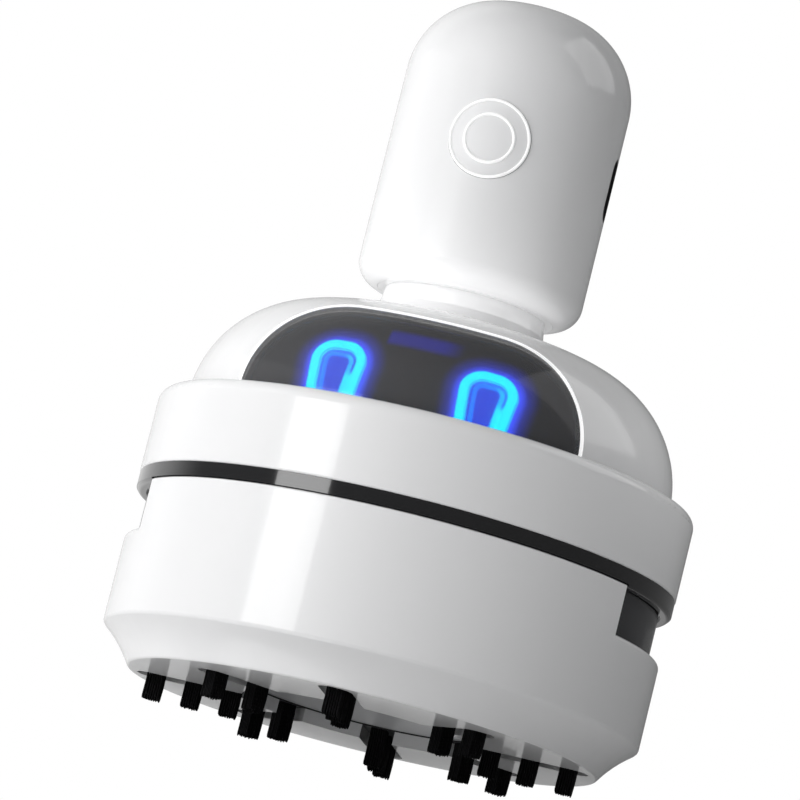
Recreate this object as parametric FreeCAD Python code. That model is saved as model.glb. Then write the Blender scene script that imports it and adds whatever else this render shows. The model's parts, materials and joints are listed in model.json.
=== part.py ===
import FreeCAD, Part
import math
import os

# Desk-top mini vacuum cleaner: a round dust box that stands on bristle tufts, a blower
# housing with a domed top and a window for two lights, and a capsule-shaped handle with
# the battery, the power button and the charging port.
#
# Millimetres.  +Z is up, z = 0 is the desk under the tuft tips, the axis of every turned
# piece is Z, the window and the button face -Y, and the charging port faces +X.

Vector = FreeCAD.Vector
ORIGIN = Vector(0, 0, 0)
UP = Vector(0, 0, 1)
FRONT = Vector(0, -1, 0)
RIGHT = Vector(1, 0, 0)

# ---------------------------------------------------------------- driving dimensions
# clearances
loose = 0.3            # between bodies that slide past each other
snug = 0.1             # between pieces that are assembled once
seam = 0.1             # open line between the dust box and the blower housing

# brush tufts and the underside
tuft_reach = 3.65      # how far the tufts stand below the rim
tuft_side = 2.55
tuft_inner_margin = 1.6   # from the recess to the innermost tufts' centres
tuft_outer_margin = 4.05  # from the outermost tufts' centres to the rim
short_arm_step = 4.1      # how much further in the short arms end
arm_slot_width = 5.0
slot_end_margin = 2.9  # from the outermost tuft's centre to the slot's end
recess_radius = 17.9

# lower shell
body_radius = 40.0
chamfer_width = 4.95
shell_wall = 1.65
shell_floor = 2.0
shell_height = 25.55
chamfer_height = 5.4
chamfer_hollow = 0.35
notch_half_angle = 28.5
notch_depth = 7.2
notch_round = 0.8
shoulder_round = 0.7
rim_round = 0.45
lip_round = 0.35

# dust box contents
brush_plate_thickness = 1.4
cup_wall = 1.6
cup_floor = 1.5
cup_seat_height = 5.5
cup_seat_width = 1.5
cup_cone_width = 6.5
cup_cone_rise = 3.0
gasket_thickness = 0.5
intake_bore = 6.0
intake_wall = 1.2
intake_height = 14.5
intake_cone_rise = 3.4
filter_height = 3.0
filter_flange_width = 3.0
filter_gap = 0.65      # from the filter's top to the spigot above it
filter_bar = 2.0

# blower deck and housing
band_step = 0.1        # how far the band stands out from the dust box
band_height = 2.1
tab_drop = 0.5
tab_round = 0.8
spigot_wall = 1.7
spigot_drop = 3.4
inlet_radius = 9.5
fan_radius = 19.5
fan_blade_height = 5.2
fan_plate = 1.0
fan_blades = 11
fan_blade_thickness = 0.9
fan_blade_curve = 12.0
fan_gap_below = 1.5
fan_gap_above = 1.0
fan_gap_round = 2.8
fan_housing_wall = 1.4
fan_outlet_half_angle = 24.0
motor_radius = 10.2
motor_top_gap = 1.1    # from the motor's top to the neck's spigot
motor_boss_radius = 3.2
motor_boss_height = 1.4
motor_cap_height = 0.6
shaft_radius = 1.0
shaft_clearance = 0.06
bracket_wall = 1.3
bracket_height = 6.5
bracket_foot = 1.6

# collar and dome
collar_step = 0.1      # how far the collar stands out from the band
collar_height = 12.65
collar_wall = 2.0
collar_top = 1.5
collar_round = 1.8
vent_count = 9
vent_width = 1.4
vent_height = 5.6
vent_pitch_angle = 5.5
collar_ledge = 4.0     # from the collar's outside in to the dome's
dome_wall = 2.0
dome_shoulder = 17.4
dome_crown = 95.0
dome_spring = 0.25     # the curve starts this far above the collar's top
dome_flange = 1.6
post_radius = 3.0
post_inset = 4.6       # from the dome's outside in to the posts' centres
post_angles = (45, 135, 208, 332)

# window and lights
window_flat = 10.3     # half of the window's flat top
window_corner = 15.0
window_sill = 0.9      # how far the window runs down behind the collar's top edge
trim_width = 0.4
lens_recess = 0.15
lens_thickness = 1.35
lens_ledge = 1.3
ledge_sill = 0.2       # the same for the hole inside the ledge
eye_spacing = 11.0     # from the middle plane to each light's middle
eye_half_width = 4.1
eye_tuck = 0.45        # how far each leg leans in at its foot
eye_foot = 0.4         # above the collar's top
eye_height = 8.7       # above the collar's top
eye_stroke = 1.4
eye_corner = 3.3
eye_guide_depth = 1.2
eye_panel_step = 0.6   # from the light's front to the panel inside its arch
carrier_lap = 1.4
carrier_thickness = 1.2
carrier_depth = 15.2   # from the dome's front to the carrier's back
carrier_post_radius = 1.5
carrier_post_x = 4.2
light_hole_radius = 2.2
led_board_thickness = 1.0
led_board_half_width = 14.5
led_board_height = 8.0
led_size = 1.6

# neck and handle
neck_step = 1.3        # from the handle's flat foot in to the neck
neck_flare = 0.65
neck_spigot_step = 1.8 # from the neck's foot in to the spigot
neck_wall = 2.4
neck_spigot_drop = 5.4
neck_nut_width = 3.2
neck_nut_height = 2.2
neck_nut_gap = 0.14    # from the nut's edge to the dome's inside
neck_gap = 3.0         # from the crown's top to the handle's underside
handle_radius = 16.85
handle_wall = 1.8
handle_shoulder = 12.5
handle_crown = 29.5
handle_height = 45.85
handle_foot_round = 3.6
base_fit = 0.04        # round the disc that closes the handle
base_flange_height = 2.4
stop_lug_height = 4.2
stop_lug_width = 5.0

# handle contents
frame_plate = 1.2
frame_edge_gap = 4.05  # from the handle's bore to the plate's sides
frame_top_gap = 7.05   # from the plate's top to the handle's top
cell_gap = 1.38        # from the cell to the handle's bore
cell_end_gap = 3.0     # how much shorter the cell is than the plate
board_thickness = 1.0
board_edge_gap = 1.5   # from the plate's sides to the board's
board_end_gap = 4.0    # how much shorter the board is than the plate
board_screw_margin = 3.0
wing_margin = 1.13     # how far the board's wing runs past the socket
wing_gap = 1.6         # from the wing to the handle's bore
lead_radius = 0.55
lead_half_pitch = 2.0
lead_slot_radius = 5.4 # half the width of the slot for the wires, open to the front
lead_slot_shift = 1.5  # its round end's middle lies this far behind the wires
lead_lift = 0.4        # the wires start this far above the motor's can
lead_lap = 3.5         # how far they run up in front of the board

# power button
button_height = 21.8   # above the handle's underside
button_radius = 3.65
button_proud = 0.12
button_clearance = 0.15
button_thickness = 3.2
button_flange_radius = 4.7
button_stem_radius = 1.5
button_travel = 0.5
ring_radius = 6.0
ring_flange = 1.3
switch_side = 6.0
switch_height = 3.5
switch_cap_radius = 1.7
switch_cap_height = 1.4

# charging port
port_height = 21.5     # above the handle's underside
socket_width = 3.26
socket_height = 8.94
socket_length = 7.4
socket_wall = 0.35
liner_wall = 0.35
tongue_width = 0.7
tongue_height = 6.7

# screws
screw_radius = 0.95
screw_head_radius = 1.9
screw_head_height = 1.3
screw_slot_width = 0.5
screw_slot_depth = 0.4
deck_screw_bite = 7.0  # how far the deck screws run into the posts
short_screw_length = 2.6
board_screw_head_radius = 1.6
board_screw_head_height = 0.9

# ---------------------------------------------------------------- levels and fits
rim_radius = body_radius - chamfer_width
inner_tuft_r = recess_radius + tuft_inner_margin
outer_tuft_r = rim_radius - tuft_outer_margin
long_arm_radii = (inner_tuft_r, (inner_tuft_r + outer_tuft_r) / 2, outer_tuft_r)
short_arm_radii = (inner_tuft_r, outer_tuft_r - short_arm_step)
band_radius = body_radius + band_step
collar_radius = band_radius + collar_step
dome_radius = collar_radius - collar_ledge
post_circle = dome_radius - post_inset
carrier_back_y = carrier_depth - dome_radius
rim_z = tuft_reach
shoulder_z = rim_z + chamfer_height
shell_top = rim_z + shell_height
floor_top = rim_z + shell_floor
plate_top = floor_top + brush_plate_thickness
cup_seat_z = rim_z + cup_seat_height
shell_bore = body_radius - shell_wall
cup_radius = shell_bore - snug
cup_bore = cup_radius - cup_wall
deck_bottom = shell_top + seam
deck_top = deck_bottom + band_height
cup_top = deck_bottom - seam - gasket_thickness
spigot_radius = cup_bore - loose
spigot_bottom = deck_bottom - spigot_drop
filter_z = spigot_bottom - filter_gap - filter_height
collar_z = deck_top
collar_top_z = collar_z + collar_height
collar_bore = collar_radius - collar_wall
spring_z = collar_top_z + dome_spring
flange_top = collar_top_z - collar_top - 0.02
crown_centre_z = spring_z - math.sqrt((dome_crown - dome_shoulder) ** 2 - (dome_radius - dome_shoulder) ** 2)
crown_z = crown_centre_z + dome_crown
handle_z = crown_z + neck_gap
handle_spring_z = handle_z + handle_height - handle_crown
handle_spring_z += math.sqrt((handle_crown - handle_shoulder) ** 2 - (handle_radius - handle_shoulder) ** 2)
handle_bore = handle_radius - handle_wall
foot_radius = handle_radius - handle_foot_round
neck_top_radius = foot_radius - neck_step
neck_foot_radius = neck_top_radius + neck_flare
neck_spigot_radius = neck_foot_radius - neck_spigot_step
neck_bore = neck_spigot_radius - neck_wall
neck_nut_radius = neck_spigot_radius + neck_nut_width
base_top = handle_z + base_flange_height
lug_top = base_top + stop_lug_height
frame_z = lug_top
frame_height = handle_z + handle_height - frame_top_gap - frame_z - frame_plate
frame_half_width = handle_bore - frame_edge_gap
fan_z = deck_top + fan_gap_below
fan_plate_z = fan_z + fan_blade_height
fan_top = fan_plate_z + fan_plate
fan_housing_radius = fan_radius + fan_gap_round + fan_housing_wall
housing_inner_top = fan_top + fan_gap_above
housing_top = housing_inner_top + fan_housing_wall
motor_z = housing_top
motor_top = crown_z - neck_spigot_drop - motor_top_gap
socket_half = socket_width / 2
board_back_y = -socket_half
board_front_y = board_back_y - board_thickness
board_half_width = frame_half_width - board_edge_gap
board_height = frame_height - board_end_gap
plate_back_y = board_back_y + frame_plate
cell_radius = (handle_bore - cell_gap - plate_back_y - snug) / 2
cell_length = frame_height - cell_end_gap
button_z = handle_z + button_height
port_z = handle_z + port_height
overshoot = 5.0        # how far cutting tools run past what they cut


# ---------------------------------------------------------------- helpers
def outline_wire(outline, place):
    """Closed wire through (a, b) points; (a, b, am, bm) ends an arc that passes (am, bm)."""
    edges = []
    last = outline[-1]
    for point in outline:
        start = place(last[0], last[1])
        end = place(point[0], point[1])
        if len(point) == 4:
            edges.append(Part.Arc(start, place(point[2], point[3]), end).toShape())
        else:
            edges.append(Part.makeLine(start, end))
        last = point
    return Part.Wire(edges)


def turned(outline, start=0.0, sweep=360.0):
    """Solid turned about Z from a closed (r, z) outline, from the angle start."""
    face = Part.Face(outline_wire(outline, lambda r, z: Vector(r, 0, z)))
    face.rotate(ORIGIN, UP, start)
    return face.revolve(ORIGIN, UP, sweep)


def ring(outer, inner, low, high):
    return turned([(inner, low), (outer, low), (outer, high), (inner, high)])


def disc(radius, low, high, x=0.0, y=0.0):
    return Part.makeCylinder(radius, high - low, Vector(x, y, low), UP)


def sector(outer, inner, low, high, middle, half):
    """Part of a ring, half degrees to each side of the angle middle from +X."""
    outline = [(inner, low), (outer, low), (outer, high), (inner, high)]
    return turned(outline, middle - half, 2 * half)


def block(low, high):
    """Box between two opposite corners."""
    return Part.makeBox(high[0] - low[0], high[1] - low[1], high[2] - low[2], Vector(*low))


def front_prism(outline, near_y, far_y):
    """Prism of an (x, z) outline, from the plane y = near_y to y = far_y."""
    face = Part.Face(outline_wire(outline, lambda x, z: Vector(x, near_y, z)))
    return face.extrude(Vector(0, far_y - near_y, 0))


def polar(shape, angles):
    """Copies of a shape turned about Z by each angle."""
    copies = []
    for angle in angles:
        copy = shape.copy()
        copy.rotate(ORIGIN, UP, angle)
        copies.append(copy)
    return copies


def mirrored(shape):
    return shape.mirror(ORIGIN, RIGHT)


def edges_at(shape, radius, z):
    """Edges that lie on the circle of this radius about Z at height z."""
    found = []
    for edge in shape.Edges:
        middle = edge.valueAt((edge.FirstParameter + edge.LastParameter) / 2)
        start = edge.valueAt(edge.FirstParameter)
        on_circle = abs(math.hypot(middle.x, middle.y) - radius) < 0.01
        on_circle = on_circle and abs(math.hypot(start.x, start.y) - radius) < 0.01
        if on_circle and abs(middle.z - z) < 0.01 and abs(start.z - z) < 0.01:
            found.append(edge)
    return found


def rounded(shape, size, radius, z):
    return shape.makeFillet(size, edges_at(shape, radius, z))


def domed(radius, shoulder, crown, spring, base, inset):
    """(r, z) outline of a wall of this radius under a rounded shoulder and a crown, all inset."""
    centre_r = radius - shoulder
    rise = math.sqrt((crown - shoulder) ** 2 - centre_r ** 2)
    centre_z = spring - rise
    tilt = math.atan2(rise, centre_r)
    shoulder_r = shoulder - inset
    crown_r = crown - inset
    half = tilt / 2
    upper = (tilt + math.pi / 2) / 2
    return [
        (0, base),
        (radius - inset, base),
        (radius - inset, spring),
        (centre_r + shoulder_r * math.cos(tilt), spring + shoulder_r * math.sin(tilt),
         centre_r + shoulder_r * math.cos(half), spring + shoulder_r * math.sin(half)),
        (0, centre_z + crown_r,
         crown_r * math.cos(upper), centre_z + crown_r * math.sin(upper)),
    ]


def dome_core(inset):
    """Everything inside the dome's outer surface, inset by this much."""
    return turned(domed(dome_radius, dome_shoulder, dome_crown, spring_z, deck_top, inset))


def handle_core(inset, base=handle_z):
    return turned(domed(handle_radius, handle_shoulder, handle_crown, handle_spring_z, base, inset))


def arch(half_flat, corner, centre_z, base_z, tuck=0.0):
    """(x, z) outline of an arch: a flat top between two quarter rounds, on legs that lean in by tuck."""
    side = half_flat + corner
    top = centre_z + corner
    quarter = corner * math.sqrt(0.5)
    return [
        (tuck - side, base_z),
        (-side, centre_z),
        (-half_flat, top, -half_flat - quarter, centre_z + quarter),
        (half_flat, top),
        (side, centre_z, half_flat + quarter, centre_z + quarter),
        (side - tuck, base_z),
    ]


def window_prism(inset, sill, near_y=carrier_back_y):
    """The window's outline, made smaller by inset, down to sill below the collar's top."""
    outline = arch(window_flat, window_corner - inset, collar_top_z, collar_top_z - sill)
    return front_prism(outline, near_y, -body_radius)


def stadium_x(width, height, near_x, far_x, z):
    """Prism along X with an upright stadium section, width along Y and height along Z."""
    half = width / 2
    straight = height / 2 - half
    outline = [
        (half, z - straight),
        (half, z + straight),
        (-half, z + straight, 0, z + straight + half),
        (-half, z - straight),
        (half, z - straight, 0, z - straight - half),
    ]
    face = Part.Face(outline_wire(outline[1:], lambda y, level: Vector(near_x, y, level)))
    return face.extrude(Vector(far_x - near_x, 0, 0))


def screw(x, y, head_z, length, upward=True):
    """Plain screw whose head starts at head_z; the shank runs up, or down."""
    way = UP if upward else UP * -1
    head = Part.makeCylinder(screw_head_radius, screw_head_height, Vector(x, y, head_z), way)
    shank = Part.makeCylinder(screw_radius, length, Vector(x, y, head_z) + way * screw_head_height, way)
    slot_reach = screw_head_radius * 0.7
    slot_half = screw_slot_width / 2
    slot = block((x - slot_reach, y - slot_half, head_z - screw_slot_depth),
                 (x + slot_reach, y + slot_half, head_z + screw_slot_depth))
    return head.fuse(shank).cut(slot)


# ---------------------------------------------------------------- dust box
def arm_slot(outermost):
    """Slot for one arm of tufts along +X, from the recess to past its outermost tuft."""
    half = arm_slot_width / 2
    end = outermost + slot_end_margin - half
    low = rim_z - overshoot
    high = floor_top + 0.01
    straight = block((recess_radius - half, -half, low), (end, half, high))
    return straight.fuse(disc(half, low, high, end))


def lower_shell():
    chord_r = body_radius - rim_radius
    chord = math.hypot(chord_r, chamfer_height)
    hollow_r = (rim_radius + body_radius) / 2 - chamfer_hollow * chamfer_height / chord
    hollow_z = rim_z + chamfer_height / 2 + chamfer_hollow * chord_r / chord
    seat_bore = shell_bore - cup_seat_width
    floor_bore = rim_radius - 0.75
    shell = turned([
        (recess_radius, rim_z),
        (rim_radius, rim_z),
        (body_radius, shoulder_z, hollow_r, hollow_z),
        (body_radius, shell_top),
        (shell_bore, shell_top),
        (shell_bore, cup_seat_z),
        (seat_bore, cup_seat_z),
        (floor_bore, plate_top),
        (floor_bore, floor_top),
        (recess_radius, floor_top),
    ])
    shell = rounded(shell, shoulder_round, body_radius, shoulder_z)
    shell = rounded(shell, rim_round, rim_radius, rim_z)
    shell = rounded(shell, lip_round, body_radius, shell_top)
    ledge_z = shell_top - notch_depth
    for middle in (0, 180):
        shell = shell.cut(sector(body_radius + overshoot, shell_bore - snug / 2, ledge_z,
                                 shell_top + overshoot, middle, notch_half_angle))
    shell = rounded(shell, notch_round, body_radius, ledge_z)
    slots = polar(arm_slot(long_arm_radii[-1]), (0, 90, 180, 270))
    slots += polar(arm_slot(short_arm_radii[-1]), (45, 135, 225, 315))
    for slot in slots:
        shell = shell.cut(slot)
    return shell


def brush_plate():
    return ring(rim_radius - 0.75 - snug, recess_radius + snug, floor_top, plate_top)


def tuft_arm(radii):
    half = tuft_side / 2
    return [block((r - half, -half, 0), (r + half, half, floor_top)) for r in radii]


def tufts(radii, first_angle):
    solids = []
    for tuft in tuft_arm(radii):
        solids += polar(tuft, [first_angle + 90 * k for k in range(4)])
    return Part.makeCompound(solids)


def intake_funnel():
    outer = intake_bore + intake_wall
    throat_z = floor_top + intake_cone_rise
    top = rim_z + intake_height
    edge = recess_radius - snug
    return turned([
        (edge - 1.2, floor_top + 0.2),
        (edge, floor_top + 0.2),
        (edge, plate_top),
        (edge + 1.4, plate_top),
        (edge + 1.4, plate_top + 0.7),
        (edge - 0.6, plate_top + 0.7),
        (outer + 1.0, throat_z + 1.6),
        (outer, throat_z + 2.6),
        (outer, top),
        (intake_bore, top),
        (intake_bore, throat_z + 0.8),
        (intake_bore + 1.0, throat_z - 0.2),
    ])


def dust_cup():
    tube = intake_bore + intake_wall + snug
    cone_foot = tube + cup_cone_width
    cone_rise = cup_cone_rise
    floor_low = cup_seat_z
    floor_high = floor_low + cup_floor
    ledge = filter_z
    cup = turned([
        (tube, floor_low + cone_rise),
        (cone_foot, floor_low),
        (cup_radius, floor_low),
        (cup_radius, cup_top),
        (cup_bore, cup_top),
        (cup_bore, ledge),
        (cup_bore - 1.0, ledge),
        (cup_bore, ledge - 1.4),
        (cup_bore, floor_high + 1.5),
        (cup_bore - 1.5, floor_high, cup_bore - 0.44, floor_high + 0.44),
        (cone_foot, floor_high),
        (tube, floor_high + cone_rise),
    ])
    return cup


def cup_gasket():
    return ring(cup_radius - snug, cup_bore + snug, cup_top, cup_top + gasket_thickness)


def filter_frame():
    outer = cup_bore - loose
    inner = outer - filter_flange_width
    low = filter_z
    frame = ring(outer, inner, low, low + filter_height)
    half = filter_bar / 2
    bar_high = low + 0.8
    reach = inner + 1.0
    bars = block((-reach, -half, low), (reach, half, bar_high))
    bars = bars.fuse(block((-half, -reach, low), (half, reach, bar_high)))
    hub = disc(5.0, low, bar_high)
    return frame.fuse(bars).fuse(hub).removeSplitter()


def filter_pad():
    outer = cup_bore - loose - filter_flange_width - snug
    return disc(outer, filter_z + 0.8, filter_z + filter_height - 0.4)


# ---------------------------------------------------------------- blower
def deck_tab(middle):
    """Tab that fills the top of one side notch and keeps the dust box from turning."""
    inner = cup_radius + loose
    low = deck_bottom - tab_drop
    corner = tab_round * (1 - math.sqrt(0.5))
    outline = [
        (inner, low),
        (band_radius - tab_round, low),
        (band_radius, low + tab_round, band_radius - corner, low + corner),
        (band_radius, deck_bottom + 0.5),
        (inner, deck_bottom + 0.5),
    ]
    half = notch_half_angle - math.degrees(loose * 1.4 / body_radius)
    return turned(outline, middle - half, 2 * half)


def deck_screw_places():
    places = []
    for angle in post_angles:
        turn = math.radians(angle)
        places.append((post_circle * math.cos(turn), post_circle * math.sin(turn)))
    return places


def motor_deck():
    spigot_bore = spigot_radius - spigot_wall
    lip_outer = collar_bore - snug
    lip_inner = lip_outer - 1.3
    deck = turned([
        (inlet_radius, deck_bottom),
        (spigot_bore, deck_bottom),
        (spigot_bore, spigot_bottom),
        (spigot_radius, spigot_bottom),
        (spigot_radius, deck_bottom),
        (band_radius, deck_bottom),
        (band_radius, deck_top),
        (lip_outer, deck_top),
        (lip_outer, deck_top + 1.6),
        (lip_inner, deck_top + 1.6),
        (lip_inner, deck_top),
        (inlet_radius, deck_top),
    ])
    for middle in (0, 180):
        deck = deck.fuse(deck_tab(middle))
    deck = deck.removeSplitter()
    for x, y in deck_screw_places():
        deck = deck.cut(disc(screw_radius + snug, deck_bottom - 1, deck_top + 1, x, y))
    for x, y in fan_screw_places():
        deck = deck.cut(disc(screw_radius, deck_bottom + 0.8, deck_top + 1, x, y))
    return deck


def deck_screws():
    head_z = deck_bottom - screw_head_height
    length = band_height + deck_screw_bite
    return Part.makeCompound([screw(x, y, head_z, length) for x, y in deck_screw_places()])


def fan_screw_places():
    reach = fan_housing_radius + screw_head_radius + snug
    places = []
    for angle in (20, 160, 270):
        turn = math.radians(angle)
        places.append((reach * math.cos(turn), reach * math.sin(turn)))
    return places


def fan_housing():
    inner = fan_housing_radius - fan_housing_wall
    boss = motor_boss_radius + snug
    housing = turned([
        (inner, deck_top),
        (fan_housing_radius, deck_top),
        (fan_housing_radius, housing_top),
        (boss, housing_top),
        (boss, housing_inner_top),
        (inner, housing_inner_top),
    ])
    outlet = sector(fan_housing_radius + overshoot, inner - 1, deck_top + 1.0,
                    housing_inner_top - 0.8, 90, fan_outlet_half_angle)
    housing = housing.cut(outlet)
    ear_top = deck_top + 1.6
    for x, y in fan_screw_places():
        ear = disc(2.6, deck_top, ear_top, x, y).cut(disc(inner, deck_top - 1, ear_top + 1))
        housing = housing.fuse(ear)
        housing = housing.cut(disc(screw_radius + snug, deck_top - 1, ear_top + 1, x, y))
    for x in (-1, 1):
        hole = disc(screw_radius, housing_inner_top - 1, housing_top + 1, x * bracket_screw_reach())
        housing = housing.cut(hole)
    return housing.removeSplitter()


def fan_screws():
    head_top = deck_top + 1.6 + screw_head_height
    solids = [screw(x, y, head_top, short_screw_length, upward=False) for x, y in fan_screw_places()]
    return Part.makeCompound(solids)


def impeller():
    plate = disc(fan_radius, fan_plate_z, fan_top)
    hub = disc(3.6, fan_z + 1.2, fan_top)
    wheel = plate.fuse(hub)
    tube_centre = Vector(0, fan_blade_curve, fan_z)
    outer = Part.makeCylinder(fan_blade_curve + fan_blade_thickness / 2, fan_blade_height, tube_centre, UP)
    inner = Part.makeCylinder(fan_blade_curve - fan_blade_thickness / 2, fan_blade_height, tube_centre, UP)
    zone = ring(fan_radius, inlet_radius - 1.5, fan_z, fan_plate_z)
    half = block((0, -body_radius, fan_z), (body_radius, body_radius, fan_plate_z))
    blade = outer.cut(inner).common(zone).common(half)
    for copy in polar(blade, [360.0 * k / fan_blades for k in range(fan_blades)]):
        wheel = wheel.fuse(copy)
    bore = disc(shaft_radius + 0.02, fan_z - 1, fan_top + 1)
    return wheel.removeSplitter().cut(bore)


def motor_shaft():
    return disc(shaft_radius, fan_z + 0.6, motor_z + 4.0)


def motor_can():
    boss_low = motor_z - motor_boss_height
    can = disc(motor_radius, motor_z, motor_top)
    can = rounded(can, 1.2, motor_radius, motor_top)
    can = can.fuse(disc(motor_boss_radius, boss_low, motor_z))
    can = can.fuse(disc(motor_boss_radius, motor_top, motor_top + motor_cap_height))
    for x in (-lead_half_pitch, lead_half_pitch):
        tab = block((x - 0.9, lead_y() + lead_radius, motor_top - 0.2),
                    (x + 0.9, lead_y() + lead_radius + 0.5, motor_top + 2.4))
        can = can.fuse(tab)
    can = can.removeSplitter()
    return can.cut(disc(shaft_radius + shaft_clearance, boss_low - 1, motor_z + 4.2))


def bracket_screw_reach():
    return motor_radius + bracket_wall + 2.4


def motor_bracket():
    inner = motor_radius + snug
    reach = bracket_screw_reach()
    ear = 2.6
    plate_high = housing_top + bracket_foot
    plate = block((-reach, -ear, housing_top), (reach, ear, plate_high))
    for x in (-reach, reach):
        plate = plate.fuse(disc(ear, housing_top, plate_high, x))
        plate = plate.cut(disc(screw_radius + snug, housing_top - 1, plate_high + 1, x))
    clamp = disc(inner + bracket_wall, housing_top, housing_top + bracket_height)
    return plate.fuse(clamp).cut(disc(inner, housing_top - 1, housing_top + bracket_height + 1))


def motor_screws():
    head_top = housing_top + bracket_foot + screw_head_height
    places = [side * bracket_screw_reach() for side in (-1, 1)]
    return Part.makeCompound([screw(x, 0, head_top, short_screw_length, upward=False) for x in places])


# ---------------------------------------------------------------- collar and dome
def collar_ring():
    flange_bore = dome_radius + snug
    collar = turned([
        (collar_bore, collar_z),
        (collar_radius, collar_z),
        (collar_radius, collar_top_z),
        (flange_bore, collar_top_z),
        (flange_bore, collar_top_z - collar_top),
        (collar_bore, collar_top_z - collar_top),
    ])
    collar = rounded(collar, collar_round, collar_radius, collar_top_z)
    collar = rounded(collar, lip_round, collar_radius, collar_z)
    middle = (collar_z + collar_top_z) / 2
    half = vent_height / 2
    radius = vent_width / 2
    slot = block((collar_bore - overshoot, -radius, middle - half + radius),
                 (collar_radius + overshoot, radius, middle + half - radius))
    for z in (middle - half + radius, middle + half - radius):
        slot = slot.fuse(Part.makeCylinder(radius, collar_wall + 2 * overshoot,
                                           Vector(collar_bore - overshoot, 0, z), RIGHT))
    first = 90 - vent_pitch_angle * (vent_count - 1) / 2
    for vent in polar(slot, [first + vent_pitch_angle * k for k in range(vent_count)]):
        collar = collar.cut(vent)
    return collar


def dome_shell():
    flange_low = flange_top - dome_flange
    outside = dome_core(0).cut(disc(body_radius, deck_top - 1, flange_low))
    inside = dome_core(dome_wall)
    dome = outside.cut(inside)
    flange = ring(collar_bore - snug, dome_radius - dome_wall, flange_low, flange_top)
    dome = dome.fuse(flange)
    for x, y in deck_screw_places():
        post = disc(post_radius, deck_top, spring_z + 2.0, x, y)
        dome = dome.fuse(post.common(dome_core(0.5)))
    dome = dome.removeSplitter()
    for x, y in deck_screw_places():
        dome = dome.cut(disc(screw_radius, deck_top - 1, deck_top + deck_screw_bite + 2.0, x, y))
    seat = window_prism(0, window_sill).cut(dome_core(lens_recess + lens_thickness + snug / 2))
    dome = dome.cut(seat)
    dome = dome.cut(window_prism(lens_ledge, ledge_sill))
    return dome.cut(disc(neck_spigot_radius + snug, crown_z - neck_spigot_drop, crown_z + 1))


def visor_trim():
    """Thin frame round the window's sides and top."""
    outer = window_prism(snug / 2, window_sill - snug)
    inner = window_prism(snug / 2 + trim_width, window_sill + 1.0)
    layer = dome_core(0).cut(dome_core(lens_recess + lens_thickness))
    return outer.cut(inner).common(layer)


def visor_lens():
    layer = dome_core(lens_recess).cut(dome_core(lens_recess + lens_thickness))
    return window_prism(snug + trim_width, window_sill - snug).common(layer)


def eye_prism(inset, foot_z):
    half = eye_half_width - inset
    corner = eye_corner - inset
    centre_z = collar_top_z + eye_height - eye_corner
    return front_prism(arch(half - corner, corner, centre_z, foot_z, eye_tuck), 0, -body_radius)


def eye_guide(side):
    """Arch-shaped light guide with a thinner panel inside its arch."""
    foot_z = collar_top_z + eye_foot
    whole = eye_prism(0, foot_z)
    recess = eye_prism(eye_stroke, foot_z - 1.0)
    for prism in (whole, recess):
        prism.translate(Vector(side * eye_spacing, 0, 0))
    front = lens_recess + lens_thickness + snug / 2
    layer = dome_core(front).cut(dome_core(front + eye_guide_depth))
    return whole.common(layer).cut(recess.cut(dome_core(front + eye_panel_step)))


def eye_carrier():
    """Pan behind the window that holds the two light guides and the light board."""
    rim_front = dome_wall + 0.05
    pan_front = lens_recess + lens_thickness + 0.1 + eye_guide_depth
    back = pan_front + carrier_thickness
    whole = window_prism(-carrier_lap, carrier_lap).common(dome_core(rim_front).cut(dome_core(back)))
    hollow = window_prism(lens_ledge + 0.2, ledge_sill).cut(dome_core(pan_front))
    carrier = whole.cut(hollow)
    carrier = carrier.cut(disc(body_radius, deck_top - 1, flange_top + 0.3))
    light_z = collar_top_z + 0.55 * eye_height
    board_y = led_board_front()
    for side in (-1, 1):
        post = Part.makeCylinder(carrier_post_radius, dome_radius + board_y,
                                 Vector(side * carrier_post_x, board_y, light_z), FRONT)
        carrier = carrier.fuse(post.common(dome_core(pan_front + 0.2)))
    carrier = carrier.removeSplitter()
    for side in (-1, 1):
        hole = Part.makeCylinder(light_hole_radius, body_radius,
                                 Vector(side * eye_spacing, board_y, light_z), FRONT)
        carrier = carrier.cut(hole)
    return carrier


def led_board_front():
    """The board stands where its top corners just clear the carrier's back."""
    top = collar_top_z + 0.6 + led_board_height
    rise = max(top - spring_z, 0)
    carrier_back = lens_recess + lens_thickness + 0.1 + eye_guide_depth + carrier_thickness
    shoulder = dome_shoulder - carrier_back
    reach = dome_radius - dome_shoulder + math.sqrt(shoulder ** 2 - rise ** 2)
    return -math.sqrt(reach ** 2 - led_board_half_width ** 2) + 0.4


def led_board():
    front = led_board_front()
    low = collar_top_z + 0.6
    return block((-led_board_half_width, front, low),
                 (led_board_half_width, front + led_board_thickness, low + led_board_height))


def eye_leds():
    front = led_board_front()
    light_z = collar_top_z + 0.55 * eye_height
    half = led_size / 2
    solids = []
    for side in (-1, 1):
        x = side * eye_spacing
        solids.append(block((x - half, front - 0.8, light_z - half), (x + half, front, light_z + half)))
    return Part.makeCompound(solids)


# ---------------------------------------------------------------- neck and handle
def crown_height(radius, inset=0.0):
    return crown_centre_z + math.sqrt((dome_crown - inset) ** 2 - radius ** 2)


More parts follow.
